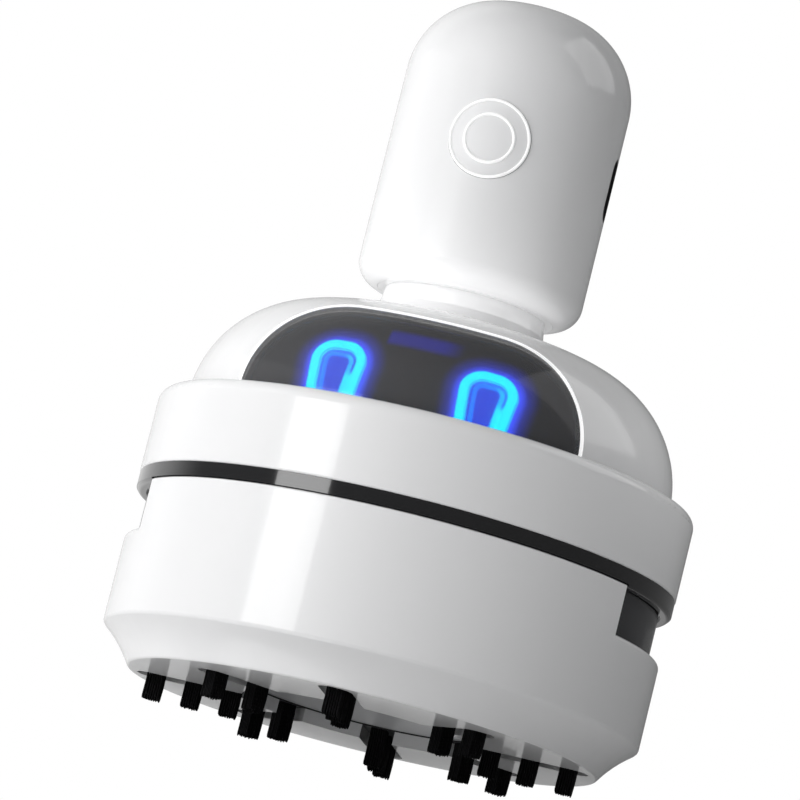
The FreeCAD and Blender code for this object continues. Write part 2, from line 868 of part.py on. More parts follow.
def neck_base():
    """Neck, with the disc that closes the handle and the spigot that goes through the dome."""
    fit = 0.03
    spigot_z = crown_height(neck_spigot_radius) + fit
    foot_z = crown_height(neck_foot_radius) + fit
    return turned([
        (neck_bore, crown_z - neck_spigot_drop),
        (neck_spigot_radius, crown_z - neck_spigot_drop),
        (neck_spigot_radius, spigot_z),
        (neck_foot_radius, foot_z),
        (neck_top_radius, handle_z),
        (foot_radius - base_fit / 2, handle_z),
        (foot_radius - base_fit / 2, base_top),
        (neck_bore, base_top),
    ])


def neck_nut():
    top = crown_height(neck_nut_radius, dome_wall) - neck_nut_gap
    nut = ring(neck_nut_radius, neck_spigot_radius + 0.03, top - neck_nut_height, top)
    notch = block((neck_nut_radius - 1.0, -1.2, top - neck_nut_height - 1), (neck_nut_radius + 1, 1.2, top + 1))
    for cut in polar(notch, (0, 60, 120, 180, 240, 300)):
        nut = nut.cut(cut)
    return nut


def handle_shell():
    corner = handle_foot_round * (1 - math.sqrt(0.5))
    outside = domed(handle_radius, handle_shoulder, handle_crown, handle_spring_z, handle_z, 0)
    outside[1] = (foot_radius, handle_z)
    outside.insert(2, (handle_radius, handle_z + handle_foot_round,
                       handle_radius - corner, handle_z + corner))
    shell = turned(outside).cut(handle_core(handle_wall, base_top))
    shell = shell.cut(disc(foot_radius + base_fit / 2, handle_z - 1, base_top + 1))
    lug = block((foot_radius - 3.0, -stop_lug_width / 2, base_top),
                (handle_radius - handle_wall / 2, stop_lug_width / 2, lug_top))
    for copy in polar(lug, (90, 210, 330)):
        shell = shell.fuse(copy)
    shell = shell.removeSplitter()
    shell = shell.cut(Part.makeCylinder(ring_radius + snug / 2, handle_radius, Vector(0, -1, button_z), FRONT))
    port_width = socket_width + 2 * liner_wall + snug
    port_length = socket_height + 2 * liner_wall + snug
    return shell.cut(stadium_x(port_width, port_length, handle_radius / 2, handle_radius + 1, port_z))


def button_cylinder(radius, near_y, far_y):
    return Part.makeCylinder(radius, near_y - far_y, Vector(0, near_y, button_z), FRONT)


def button_ring():
    flange_front = handle_wall + 0.05
    flange_back = flange_front + 1.2
    body = button_cylinder(ring_radius, 0, -handle_radius - 1).common(handle_core(-button_proud))
    flange = button_cylinder(ring_radius + ring_flange, 0, -handle_radius).common(handle_core(flange_front))
    piece = body.fuse(flange).cut(handle_core(flange_back))
    piece = piece.cut(button_cylinder(button_radius + button_clearance, 0, -handle_radius - 2))
    pocket_y = button_back_y() - snug
    piece = piece.cut(button_cylinder(button_flange_radius + loose, 0, pocket_y))
    return piece.removeSplitter()


def button_back_y():
    return button_thickness - handle_radius


def power_button():
    cap = button_cylinder(button_radius, 0, -handle_radius - 1).common(handle_core(-button_proud))
    back_y = button_back_y()
    cap = cap.cut(button_cylinder(button_radius + 1, 0, back_y))
    flange_y = back_y + 0.6
    flange = button_cylinder(button_flange_radius, flange_y, back_y)
    stem_end = board_front_y - switch_height - switch_cap_height - button_travel - 0.05
    stem = button_cylinder(button_stem_radius, stem_end, back_y)
    return cap.fuse(flange).fuse(stem).removeSplitter()


def tact_switch():
    half = switch_side / 2
    front = board_front_y - switch_height
    body = block((-half, front, button_z - half), (half, board_front_y, button_z + half))
    cap = button_cylinder(switch_cap_radius, front, front - switch_cap_height)
    return body.fuse(cap)


def inner_frame():
    """Base disc on the handle's stops, with the plate that carries the board and the cell."""
    plate_low = frame_z + frame_plate
    base = disc(handle_bore - 0.25, frame_z, plate_low)
    plate = block((-frame_half_width, board_back_y, plate_low),
                  (frame_half_width, plate_back_y, plate_low + frame_height))
    frame = base.fuse(plate)
    for z in (plate_low + 3.0, plate_low + cell_length - 5.0):
        cradle = block((-cell_radius - 0.9, plate_back_y, z), (cell_radius + 0.9, cell_y(), z + 3.0))
        frame = frame.fuse(cradle)
    frame = frame.cut(disc(cell_radius + snug, plate_low, plate_low + frame_height + 1, 0, cell_y()))
    slot_y = lead_y() + lead_slot_shift
    slot = disc(lead_slot_radius, frame_z - 1, plate_low + 0.01, 0, slot_y)
    slot = slot.fuse(block((-lead_slot_radius, -handle_bore, frame_z - 1),
                           (lead_slot_radius, slot_y, plate_low + 0.01)))
    frame = frame.cut(slot)
    socket_space = block((handle_bore - socket_length, board_back_y - 0.01, port_z - socket_height / 2 - 0.5),
                         (handle_bore, plate_back_y + 0.01, port_z + socket_height / 2 + 0.5))
    return frame.cut(socket_space).removeSplitter()


def cell_y():
    return plate_back_y + snug + cell_radius


def battery_cell():
    low = frame_z + frame_plate + 0.1
    cell = disc(cell_radius, low, low + cell_length - 0.8, 0, cell_y())
    return cell.fuse(disc(2.4, low + cell_length - 0.8, low + cell_length, 0, cell_y()))


def board_low():
    return frame_z + frame_plate + 0.3


def control_board():
    low = board_low()
    board = block((-board_half_width, board_front_y, low), (board_half_width, board_back_y, low + board_height))
    wing_half = socket_height / 2 + wing_margin
    wing_side = handle_bore - wing_gap
    wing = block((0, board_front_y, port_z - wing_half), (wing_side, board_back_y, port_z + wing_half))
    board = board.fuse(wing).removeSplitter()
    for x, z in board_screw_places():
        board = board.cut(Part.makeCylinder(screw_radius, 3 * board_thickness, Vector(x, 0, z), FRONT))
    return board


def board_screw_places():
    side = board_half_width - board_screw_margin
    low = board_low() + board_screw_margin
    high = board_low() + board_height - board_screw_margin
    return [(-side, low), (-side, high), (side, high)]


def board_screws():
    solids = []
    for x, z in board_screw_places():
        head = Part.makeCylinder(board_screw_head_radius, board_screw_head_height,
                                 Vector(x, board_front_y, z), FRONT)
        shank = Part.makeCylinder(screw_radius - 0.03, board_thickness, Vector(x, board_back_y, z), FRONT)
        solids.append(head.fuse(shank))
    return Part.makeCompound(solids)


def usb_socket():
    outer_x = handle_radius - 0.55
    inner_x = outer_x - socket_length
    body = stadium_x(socket_width, socket_height, inner_x, outer_x, port_z)
    hollow = stadium_x(socket_width - 2 * socket_wall, socket_height - 2 * socket_wall,
                       inner_x + 0.8, outer_x + 1, port_z)
    tongue = block((inner_x + 0.7, -tongue_width / 2, port_z - tongue_height / 2),
                   (outer_x - 0.8, tongue_width / 2, port_z + tongue_height / 2))
    return body.cut(hollow).fuse(tongue).removeSplitter()


def port_liner():
    width = socket_width + 2 * liner_wall
    length = socket_height + 2 * liner_wall
    liner = stadium_x(width, length, handle_bore - 0.8, handle_radius + 1, port_z)
    liner = liner.common(handle_core(0.02))
    return liner.cut(stadium_x(socket_width + 0.04, socket_height + 0.04, handle_bore - 2, handle_radius + 1, port_z))


def lead_y():
    return board_front_y - lead_radius


def motor_leads():
    low = motor_top + lead_lift
    high = board_low() + lead_lap
    return Part.makeCompound([disc(lead_radius, low, high, x, lead_y()) for x in (-lead_half_pitch, lead_half_pitch)])


# ---------------------------------------------------------------- write the pieces
PIECES = {
    "lower_shell": lower_shell,
    "brush_plate": brush_plate,
    "long_arm_tufts": lambda: tufts(long_arm_radii, 0),
    "short_arm_tufts": lambda: tufts(short_arm_radii, 45),
    "intake_funnel": intake_funnel,
    "dust_cup": dust_cup,
    "cup_gasket": cup_gasket,
    "filter_frame": filter_frame,
    "filter_pad": filter_pad,
    "motor_deck": motor_deck,
    "deck_screws": deck_screws,
    "fan_housing": fan_housing,
    "fan_screws": fan_screws,
    "impeller": impeller,
    "motor_shaft": motor_shaft,
    "motor_can": motor_can,
    "motor_bracket": motor_bracket,
    "motor_screws": motor_screws,
    "collar_ring": collar_ring,
    "dome_shell": dome_shell,
    "visor_trim": visor_trim,
    "visor_lens": visor_lens,
    "left_eye_guide": lambda: eye_guide(-1),
    "right_eye_guide": lambda: eye_guide(1),
    "eye_carrier": eye_carrier,
    "led_board": led_board,
    "eye_leds": eye_leds,
    "neck_base": neck_base,
    "neck_nut": neck_nut,
    "handle_shell": handle_shell,
    "button_ring": button_ring,
    "power_button": power_button,
    "tact_switch": tact_switch,
    "inner_frame": inner_frame,
    "battery_cell": battery_cell,
    "control_board": control_board,
    "board_screws": board_screws,
    "usb_socket": usb_socket,
    "port_liner": port_liner,
    "motor_leads": motor_leads,
}

os.makedirs("parts", exist_ok=True)
for name, make in PIECES.items():
    piece = make()
    piece.exportStep("parts/" + name + ".step")
    print("%-18s solids %2d  volume %9.1f  valid %s" % (name, len(piece.Solids), piece.Volume, piece.isValid()))
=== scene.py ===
import json
import math
import random

import bpy
from mathutils import Matrix, Vector


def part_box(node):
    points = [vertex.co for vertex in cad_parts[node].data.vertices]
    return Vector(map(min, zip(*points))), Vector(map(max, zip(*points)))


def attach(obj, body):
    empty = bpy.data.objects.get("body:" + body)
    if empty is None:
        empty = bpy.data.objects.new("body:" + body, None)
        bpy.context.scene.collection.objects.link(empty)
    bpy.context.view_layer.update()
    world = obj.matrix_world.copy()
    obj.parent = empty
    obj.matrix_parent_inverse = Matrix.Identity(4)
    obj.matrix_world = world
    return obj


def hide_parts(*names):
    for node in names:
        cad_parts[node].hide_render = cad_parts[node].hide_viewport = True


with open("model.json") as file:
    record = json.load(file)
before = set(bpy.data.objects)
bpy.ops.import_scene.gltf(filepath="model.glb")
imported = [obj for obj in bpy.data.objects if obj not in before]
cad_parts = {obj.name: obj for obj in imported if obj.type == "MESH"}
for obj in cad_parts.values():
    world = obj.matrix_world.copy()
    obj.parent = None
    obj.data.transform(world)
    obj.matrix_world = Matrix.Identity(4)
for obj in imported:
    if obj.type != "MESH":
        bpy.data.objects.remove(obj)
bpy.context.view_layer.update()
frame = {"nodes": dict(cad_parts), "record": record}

MM = 0.001

# Sizes of the solids that the added pieces and the patterns follow, in millimetres.
TUFT_ROOT = 5.65
TUFT_SIDE = 2.55
LONG_ARM_RADII = (19.5, 25.25, 31.0)
SHORT_ARM_RADII = (19.5, 26.9)
HANDLE_RADIUS = 16.85
BUTTON_FLANGE_RADIUS = 4.7
BUTTON_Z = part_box("power_button")[0].z / MM + BUTTON_FLANGE_RADIUS
EYE_SPACING = 11.0
EYE_STROKE = 1.4
EYE_MIDLINE = 3.4
EYE_CORNER = 2.6
EYE_LEAN = 0.09
EYE_TOP_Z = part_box("left_eye_guide")[1].z / MM - EYE_STROKE / 2

# Brush filaments, in millimetres; the rings are shares of the length and of the radius.
FILAMENTS_ACROSS = 7
FILAMENT_RADIUS = 0.19
FILAMENT_SIDES = 6
FILAMENT_BOW = 0.06
FILAMENT_RINGS = ((0.0, 1.0), (0.6, 1.0), (0.93, 0.85), (1.0, 0.45))
FILAMENT_EDGE_GAP = 0.04
FILAMENT_JITTER = 0.03
TUFT_LEAN = 0.06
TIP_SPLAY = (-0.02, 0.05)
TIP_HEIGHT = (0.0, 0.22)

# Raised lips round the button, in millimetres.
BEZEL_LIP_RADIUS = 5.76
BUTTON_LIP_RADIUS = 3.6
LIP_BEAD = 0.24
LIP_RISE = 0.08
LIP_STEPS = 120
LIP_SIDES = 14

# Finishes: depth of the grain in metres, and gloss of the clear coats.
GRAIN_DEPTH = 0.00002
COAT_ROUGHNESS = 0.03

# Steps of the glow: an output, where it is dark and where it is fully lit, in millimetres.
PAN_WIDE_GLOW = ("Distance", 3.9, 0.4)
PAN_TIGHT_GLOW = ("Distance", 2.1, 0.6)
STANDBY_BAR = (("X", -5.5, -4.9), ("X", 6.2, 2.5), ("Z", 53.4, 54.6), ("Z", 56.9, 55.7))
ARCH_LINE = ("Distance", 0.95, 0.4)
INNER_LINE = (("Signed", -1.05, -1.3), ("Signed", -1.95, -1.65))
# The right leg and its foot paint a reflection, a double of the arch's leg.
RIGHT_LEG_REFLECTION = ("Side", 0.5, 1.8)
LEG_FOOT_REFLECTION = (("Signed", -0.3, -0.8), ("Signed", -1.9, -1.5), ("Side", 0.5, 1.5), ("Below", 0.9, 2.3))

# The smoked window passes about a tenth of the light, so what glows behind it is strong.
PAN_STRENGTH = 9.0
GUIDE_STRENGTH = 9.5

# Studio, in metres and degrees. The key wall has one panel for each azimuth and radiance.
OBJECT_MIDDLE = (0, 0, 0.055)
HANDLE_MIDDLE = (0, 0, 0.09)
KEY_WALL = ((-106, 1.05), (-78, 1.8), (-50, 2.35), (-22, 1.9))
KEY_PANEL_HEIGHT = 0.15
KEY_PANEL_DISTANCE = 0.7
KEY_PANEL_SIZE = (0.34, 0.8)

# Panel: name, (azimuth, height, distance), aim, size, radiance, seen in reflections, lights matt.
PANELS = (
    ("strip softbox", (-38.5, 0.129, 0.6), (0, 0, 0.129), (0.25, 0.101), 4.0, True, True),
    ("handle softbox", (-84, 0.27, 0.7), HANDLE_MIDDLE, (0.7, 0.17), 0.5, True, False),
    ("side window", (99, 0.60, 0.55), HANDLE_MIDDLE, (0.6, 0.62), 1.0, True, False),
    ("back wall", (181, 0.45, 0.8), OBJECT_MIDDLE, (0.9, 0.7), 1.1, False, True),
    ("low front panel", (-50, -0.5, 0.5), OBJECT_MIDDLE, (0.7, 0.5), 0.75, True, True),
)

# Card that lifts a shade at the neck or the dome: name, place, aim, size, radiance.
CARDS = (
    ("card before the neck", (0.001, -0.0225, 0.0632), (0.001, -0.0182, 0.0725),
     (0.040, 0.012), 0.4),
    ("card under the handle", (-0.006, -0.008, 0.0646), (-0.006, -0.0079, 0.09),
     (0.044, 0.044), 0.5),
    ("card beside the dome", (0.062, -0.014, 0.060), (0.028, -0.008, 0.052),
     (0.04, 0.03), 0.75),
    ("card behind the dome", (0.058, 0.048, 0.064), (0.026, 0.014, 0.055),
     (0.04, 0.025), 0.6),
    ("card behind the handle", (0.044, 0.042, 0.095), (0.010, 0.006, 0.09),
     (0.05, 0.05), 0.45),
)

# The world: light on matt surfaces, and the dark and bright walls that reflections show.
ROOM_STRENGTH = 0.215
WALL_DARK = 0.12
WALL_BRIGHT = 0.7
CEILING_SHARE = 0.5

# The floor: its white in the light that it throws back, and as the camera sees it.
FLOOR_HALF = 3.0
FLOOR_WHITE = 0.86
FLOOR_SEEN_WHITE = 0.43
FLOOR_SEEN_LIFT = 0.38


# ---------------------------------------------------------------- camera
def aim_camera():
    """Long lens from the front, a little right of the middle and below the base, rolled."""
    aim_point = Vector((0, 0, 53.65)) * MM
    back = Vector((0.1473, -0.9742, -0.1709)).normalized()
    distance = 0.9173
    roll = math.radians(13.978)
    lens_pixels = 6266.0
    picture_pixels = 800
    aim_offset = Vector((43.41, 6.24, -lens_pixels)).normalized()

    up_flat = (Vector((0, 0, 1)) - back * back.z).normalized()
    right_flat = up_flat.cross(back)
    right = right_flat * math.cos(roll) + up_flat * math.sin(roll)
    up = up_flat * math.cos(roll) - right_flat * math.sin(roll)
    turn = Matrix((right, up, back)).transposed()
    nudge = aim_offset.rotation_difference(Vector((0, 0, -1))).to_matrix()

    data = bpy.data.cameras.new("Camera")
    data.sensor_width = 36.0
    data.lens = lens_pixels / picture_pixels * data.sensor_width
    data.clip_start = 0.05
    data.clip_end = 20
    camera = bpy.data.objects.new("Camera", data)
    camera.matrix_world = Matrix.Translation(aim_point + back * distance) @ (turn @ nudge).to_4x4()
    bpy.context.scene.collection.objects.link(camera)
    bpy.context.scene.camera = camera


# ---------------------------------------------------------------- node helpers
def link(tree, source, target):
    tree.links.new(source, target)


def feed(tree, socket, value):
    """Link another node's output to a socket, or write a plain value on it."""
    if isinstance(value, bpy.types.NodeSocket):
        link(tree, value, socket)
    else:
        socket.default_value = value


def grey(level):
    return (level, level, level, 1)


def object_place(tree):
    """Coordinates on the piece itself, in metres."""
    return tree.nodes.new("ShaderNodeTexCoord").outputs["Object"]


def axes(tree, place):
    """X, Y and Z of a place, by name."""
    node = tree.nodes.new("ShaderNodeSeparateXYZ")
    link(tree, place, node.inputs[0])
    return node.outputs


def math_node(tree, operation, first, second=None, clamp=False):
    node = tree.nodes.new("ShaderNodeMath")
    node.operation = operation
    node.use_clamp = clamp
    feed(tree, node.inputs[0], first)
    if second is not None:
        feed(tree, node.inputs[1], second)
    return node.outputs[0]


def ramp(tree, value, start, end):
    """Smooth 0 to 1 while the value goes from start to end."""
    node = tree.nodes.new("ShaderNodeMapRange")
    node.interpolation_type = "SMOOTHSTEP"
    node.inputs["From Min"].default_value = start
    node.inputs["From Max"].default_value = end
    link(tree, value, node.inputs["Value"])
    return node.outputs["Result"]


def ramp_product(tree, outputs, steps):
    """Product of smooth steps (output, dark, lit), given in millimetres."""
    mask = 1.0
    for output, dark, lit in steps:
        mask = math_node(tree, "MULTIPLY", ramp(tree, outputs[output], dark * MM, lit * MM), mask)
    return mask


def mix_color(tree, factor, first, second):
    """Colour that goes from the first to the second as the factor goes from 0 to 1."""
    node = tree.nodes.new("ShaderNodeMix")
    node.data_type = "RGBA"
    factor_socket, first_socket, second_socket = (node.inputs[index] for index in (0, 6, 7))
    feed(tree, factor_socket, factor)
    feed(tree, first_socket, first)
    feed(tree, second_socket, second)
    return node.outputs[2]


def tint(tree, pattern, amount, color, other):
    """Colour that the pattern moves towards another one, by the amount at most."""
    return mix_color(tree, math_node(tree, "MULTIPLY", pattern, amount), color, other)


def swing(tree, pattern, middle, width):
    """Value that swings round its middle by the width, as the pattern goes from 0 to 1."""
    offset = math_node(tree, "MULTIPLY", math_node(tree, "SUBTRACT", pattern, 0.5), width)
    return math_node(tree, "ADD", middle, offset, clamp=True)


def rise(tree, pattern, low, reach):
    """Value that rises from low by the reach, as the pattern goes from 0 to 1."""
    return math_node(tree, "ADD", math_node(tree, "MULTIPLY", pattern, reach), low)


def noise(tree, place, scale, detail=2.0, roughness=0.5):
    node = tree.nodes.new("ShaderNodeTexNoise")
    feed(tree, node.inputs["Scale"], scale)
    node.inputs["Detail"].default_value = detail
    node.inputs["Roughness"].default_value = roughness
    link(tree, place, node.inputs["Vector"])
    return node.outputs["Fac"]


def choose_shader(tree, factor, first, second):
    node = tree.nodes.new("ShaderNodeMixShader")
    for socket, value in zip(node.inputs, (factor, first, second)):
        link(tree, value, socket)
    return node.outputs[0]


def new_group(name, inputs, outputs):
    """Empty shader group from inputs (name, kind, default) and outputs (name, kind)."""
    tree = bpy.data.node_groups.new(name, "ShaderNodeTree")
    kinds = {"value": "NodeSocketFloat", "color": "NodeSocketColor", "vector": "NodeSocketVector"}
    for label, kind, default in inputs:
        socket = tree.interface.new_socket(label, in_out="INPUT", socket_type=kinds[kind])
        socket.default_value = default
    for label, kind in outputs:
        tree.interface.new_socket(label, in_out="OUTPUT", socket_type=kinds[kind])
    given = tree.nodes.new("NodeGroupInput").outputs
    results = tree.nodes.new("NodeGroupOutput").inputs
    return tree, given, results


def place_group(tree, group, **values):
    """Group node in a tree; gloss_change=0.1 goes to its input Gloss Change, and so on."""
    node = tree.nodes.new("ShaderNodeGroup")
    node.node_tree = group
    for label, value in values.items():
        feed(tree, node.inputs[label.replace("_", " ").title()], value)
    return node.outputs


# ---------------------------------------------------------------- shared effects
def moulded_surface_group():
    """Slight mottling and gloss change with a fine grain, for every moulded piece."""
    tree, given, results = new_group(
        "Moulded Surface",
        (("Color", "color", grey(0.8)), ("Mottle", "value", 0.05), ("Roughness", "value", 0.3),
         ("Gloss Change", "value", 0.05), ("Patch Scale", "value", 60.0),
         ("Grain Scale", "value", 2500.0)),
        (("Color", "color"), ("Roughness", "value"), ("Height", "value")))
    place = object_place(tree)
    patches = noise(tree, place, given["Patch Scale"], detail=3.0)
    grain = noise(tree, place, given["Grain Scale"], detail=1.0)
    color = tint(tree, patches, given["Mottle"], given["Color"], grey(0.0))
    roughness = swing(tree, patches, given["Roughness"], given["Gloss Change"])
    link(tree, color, results["Color"])
    link(tree, roughness, results["Roughness"])
    link(tree, grain, results["Height"])
    return tree


def drawn_metal_group():
    """Fine streaks along one axis, for drawn and turned metal."""
    tree, given, results = new_group(
        "Drawn Metal",
        (("Color", "color", grey(0.6)), ("Roughness", "value", 0.3),
         ("Stretch", "vector", (40, 40, 4000))),
        (("Color", "color"), ("Roughness", "value"), ("Height", "value")))
    scaled = tree.nodes.new("ShaderNodeVectorMath")
    scaled.operation = "MULTIPLY"
    link(tree, object_place(tree), scaled.inputs[0])
    link(tree, given["Stretch"], scaled.inputs[1])
    streaks = noise(tree, scaled.outputs[0], 1.0, detail=4.0, roughness=0.65)
    color = tint(tree, streaks, 0.35, given["Color"], (0.1, 0.1, 0.11, 1))
    roughness = swing(tree, streaks, given["Roughness"], 0.25)
    link(tree, color, results["Color"])
    link(tree, roughness, results["Roughness"])
    link(tree, streaks, results["Height"])
    return tree


def arch_distance_group():
    """Places round an arch-shaped line in the XZ plane, in metres.

    Signed is the distance from the line, negative inside the arch, and Distance is the same
    without its sign. Side is how far to the right of the arch's middle a point lies, and Below
    how far under the start of its round top. The legs lean outwards on their way down.
    """
    tree, given, results = new_group(
        "Arch Distance",
        (("Middle", "value", 0.0), ("Half Width", "value", EYE_MIDLINE * MM),
         ("Corner", "value", EYE_CORNER * MM), ("Top", "value", EYE_TOP_Z * MM),
         ("Lean", "value", EYE_LEAN)),
        (("Signed", "value"), ("Distance", "value"), ("Side", "value"), ("Below", "value")))
    place = axes(tree, object_place(tree))
    flat_half = math_node(tree, "SUBTRACT", given["Half Width"], given["Corner"])
    flat_top = math_node(tree, "SUBTRACT", given["Top"], given["Corner"])
    side = math_node(tree, "SUBTRACT", place["X"], given["Middle"])
    below = math_node(tree, "MAXIMUM", math_node(tree, "SUBTRACT", flat_top, place["Z"]), 0.0)
    lean = math_node(tree, "MULTIPLY", below, given["Lean"])
    across = math_node(tree, "ADD", math_node(tree, "ABSOLUTE", side), lean)
    past_half = math_node(tree, "SUBTRACT", across, flat_half)
    past_top = math_node(tree, "SUBTRACT", place["Z"], flat_top)
    corner_x = math_node(tree, "MAXIMUM", past_half, 0.0)
    corner_z = math_node(tree, "MAXIMUM", past_top, 0.0)
    square_x = math_node(tree, "MULTIPLY", corner_x, corner_x)
    square_z = math_node(tree, "MULTIPLY", corner_z, corner_z)
    outside = math_node(tree, "SQRT", math_node(tree, "ADD", square_x, square_z))
    nearest = math_node(tree, "MAXIMUM", past_half, past_top)
    within = math_node(tree, "MINIMUM", nearest, 0.0)
    signed = math_node(tree, "SUBTRACT", math_node(tree, "ADD", outside, within), given["Corner"])
    link(tree, signed, results["Signed"])
    link(tree, math_node(tree, "ABSOLUTE", signed), results["Distance"])
    link(tree, side, results["Side"])
    link(tree, below, results["Below"])
    return tree


# ---------------------------------------------------------------- materials
def new_material(name):
    material = bpy.data.materials.new(name)
    material.use_nodes = True
    return material, material.node_tree, material.node_tree.nodes["Principled BSDF"]


def bump(tree, shader, height, strength, depth):
    node = tree.nodes.new("ShaderNodeBump")
    node.inputs["Strength"].default_value = strength
    node.inputs["Distance"].default_value = depth
    link(tree, height, node.inputs["Height"])
    link(tree, node.outputs["Normal"], shader.inputs["Normal"])


def use_surface(tree, shader, surface, grain_strength=None):
    """Feed a placed surface group to the shader, with its grain where a strength is given."""
    link(tree, surface["Color"], shader.inputs["Base Color"])
    link(tree, surface["Roughness"], shader.inputs["Roughness"])
    if grain_strength is not None:
        bump(tree, shader, surface["Height"], grain_strength, GRAIN_DEPTH)


def plastic(name, color, roughness, mottle=0.04, gloss_change=0.06, coat=0.0, grain=2500.0,
            grain_strength=0.08, patch_scale=60.0, alpha=1.0, specular=0.5, lit=0.0):
    material, tree, shader = new_material(name)
    surface = place_group(tree, MOULDED, color=color + (1,), mottle=mottle, roughness=roughness,
                          gloss_change=gloss_change, patch_scale=patch_scale, grain_scale=grain)
    use_surface(tree, shader, surface, grain_strength)
    shader.inputs["Coat Weight"].default_value = coat
    shader.inputs["Coat Roughness"].default_value = COAT_ROUGHNESS
    shader.inputs["Specular IOR Level"].default_value = specular
    shader.inputs["Emission Strength"].default_value = lit
    shader.inputs["Alpha"].default_value = alpha
    return material


def white_plastic(name, color):
    return plastic(name, color, 0.2, mottle=0.02, coat=0.5, grain=1800.0, grain_strength=0.02)


def painted_highlight_plastic(name, lit):
    """White of a thin edge, with a little emission that paints the highlight a rounded edge
    catches.
    """
    return plastic(name, (0.9, 0.9, 0.9), 0.12, mottle=0.02, coat=0.3, grain_strength=0.02,
                   lit=lit)


def metal(name, color, roughness, stretch):
    material, tree, shader = new_material(name)
    surface = place_group(tree, DRAWN, color=color + (1,), roughness=roughness, stretch=stretch)
    use_surface(tree, shader, surface, grain_strength=0.1)
    shader.inputs["Metallic"].default_value = 1.0
    return material


def both_eyes(tree, *steps):
    """Product of smooth steps of the arch group, the stronger of the two lights."""
    masks = []
    for side in (-1, 1):
        arch = place_group(tree, ARCH, middle=side * EYE_SPACING * MM)
        masks.append(ramp_product(tree, arch, steps))
    return math_node(tree, "MAXIMUM", *masks)


def glow_layers(tree, ground, layers):
    """Glow colour built up from a ground and layers (mask, color)."""
    glow = ground
    for mask, color in layers:
        glow = mix_color(tree, mask, glow, color)
    return glow


def dark_pan():
    """Dark pan behind the window, lit blue round the two arches, with a faint bar between them."""
    material, tree, shader = new_material("dark pan with blue glow")
    surface = place_group(tree, MOULDED, color=(0.07, 0.07, 0.073, 1), mottle=0.2, roughness=0.5,
                          gloss_change=0.1, patch_scale=90.0, grain_scale=3000.0)
    use_surface(tree, shader, surface, grain_strength=0.03)
    wide = both_eyes(tree, PAN_WIDE_GLOW)
    tight = both_eyes(tree, PAN_TIGHT_GLOW)
    bar = ramp_product(tree, axes(tree, object_place(tree)), STANDBY_BAR)
    glow = glow_layers(tree, grey(0.0), ((bar, (0.0, 0.0, 0.17, 1)),
                                         (wide, (0.012, 0.02, 0.42, 1)),
                                         (tight, (0.04, 0.08, 1.1, 1))))
    link(tree, glow, shader.inputs["Emission Color"])
    shader.inputs["Emission Strength"].default_value = PAN_STRENGTH
    return material


def light_guide():
    """Frosted guide: cyan arch, and inside it a deep blue panel with a fainter second arch.

    The second arch is stronger in its right leg, and strongest at that leg's foot: a painted
    reflection that doubles the arch's leg.
    """
    material, tree, shader = new_material("glowing light guide")
    surface = place_group(tree, MOULDED, color=(0.2, 0.5, 0.7, 1), mottle=0.1, roughness=0.45,
                          gloss_change=0.1, patch_scale=200.0, grain_scale=4000.0)
    use_surface(tree, shader, surface)
    arch = both_eyes(tree, ARCH_LINE)
    inner = both_eyes(tree, *INNER_LINE)
    # Painted reflection: the second arch's right leg and its foot glow stronger.
    leg_reflection = both_eyes(tree, *INNER_LINE, RIGHT_LEG_REFLECTION)
    foot_reflection = both_eyes(tree, *LEG_FOOT_REFLECTION)
    glow = glow_layers(tree, (0.01, 0.035, 0.62, 1), ((inner, (0.0, 0.16, 1.0, 1)),
                                                      (leg_reflection, (0.0, 0.4, 1.0, 1)),
                                                      (foot_reflection, (0.0, 0.72, 1.05, 1)),
                                                      (arch, (0.0, 0.85, 1.1, 1))))
    link(tree, glow, shader.inputs["Emission Color"])
    shader.inputs["Emission Strength"].default_value = GUIDE_STRENGTH
    return material


def fleece():
    """Felted filter pad: soft, with loose fibres in clumps."""
    material, tree, shader = new_material("filter fleece")
    place = object_place(tree)
    fibres = noise(tree, place, 900.0, detail=6.0, roughness=0.7)
    clumps = noise(tree, place, 160.0, detail=3.0)
    color = mix_color(tree, clumps, (0.78, 0.77, 0.74, 1), (0.9, 0.895, 0.88, 1))
    color = tint(tree, fibres, 0.25, color, (0.55, 0.54, 0.5, 1))
    link(tree, color, shader.inputs["Base Color"])
    link(tree, rise(tree, fibres, 0.8, 0.15), shader.inputs["Roughness"])
    bump(tree, shader, fibres, 0.6, 0.0003)
    shader.inputs["Sheen Weight"].default_value = 0.4
    return material


def circuit_board():
    """Green solder mask, with paler copper tracks that show through it."""
    material, tree, shader = new_material("circuit board")
    place = object_place(tree)
    tracks = tree.nodes.new("ShaderNodeTexBrick")
    tracks.inputs["Scale"].default_value = 420.0
    tracks.inputs["Mortar Size"].default_value = 0.03
    tracks.inputs["Color1"].default_value = (0.01, 0.16, 0.07, 1)
    tracks.inputs["Color2"].default_value = (0.012, 0.19, 0.085, 1)
    tracks.inputs["Mortar"].default_value = (0.05, 0.33, 0.14, 1)
    link(tree, place, tracks.inputs["Vector"])
    cloud = noise(tree, place, 300.0)
    color = tint(tree, cloud, 0.3, tracks.outputs["Color"], (0.0, 0.06, 0.03, 1))
    link(tree, color, shader.inputs["Base Color"])
    link(tree, rise(tree, cloud, 0.2, 0.2), shader.inputs["Roughness"])
    bump(tree, shader, tracks.outputs["Fac"], 0.2, 0.00003)
    return material


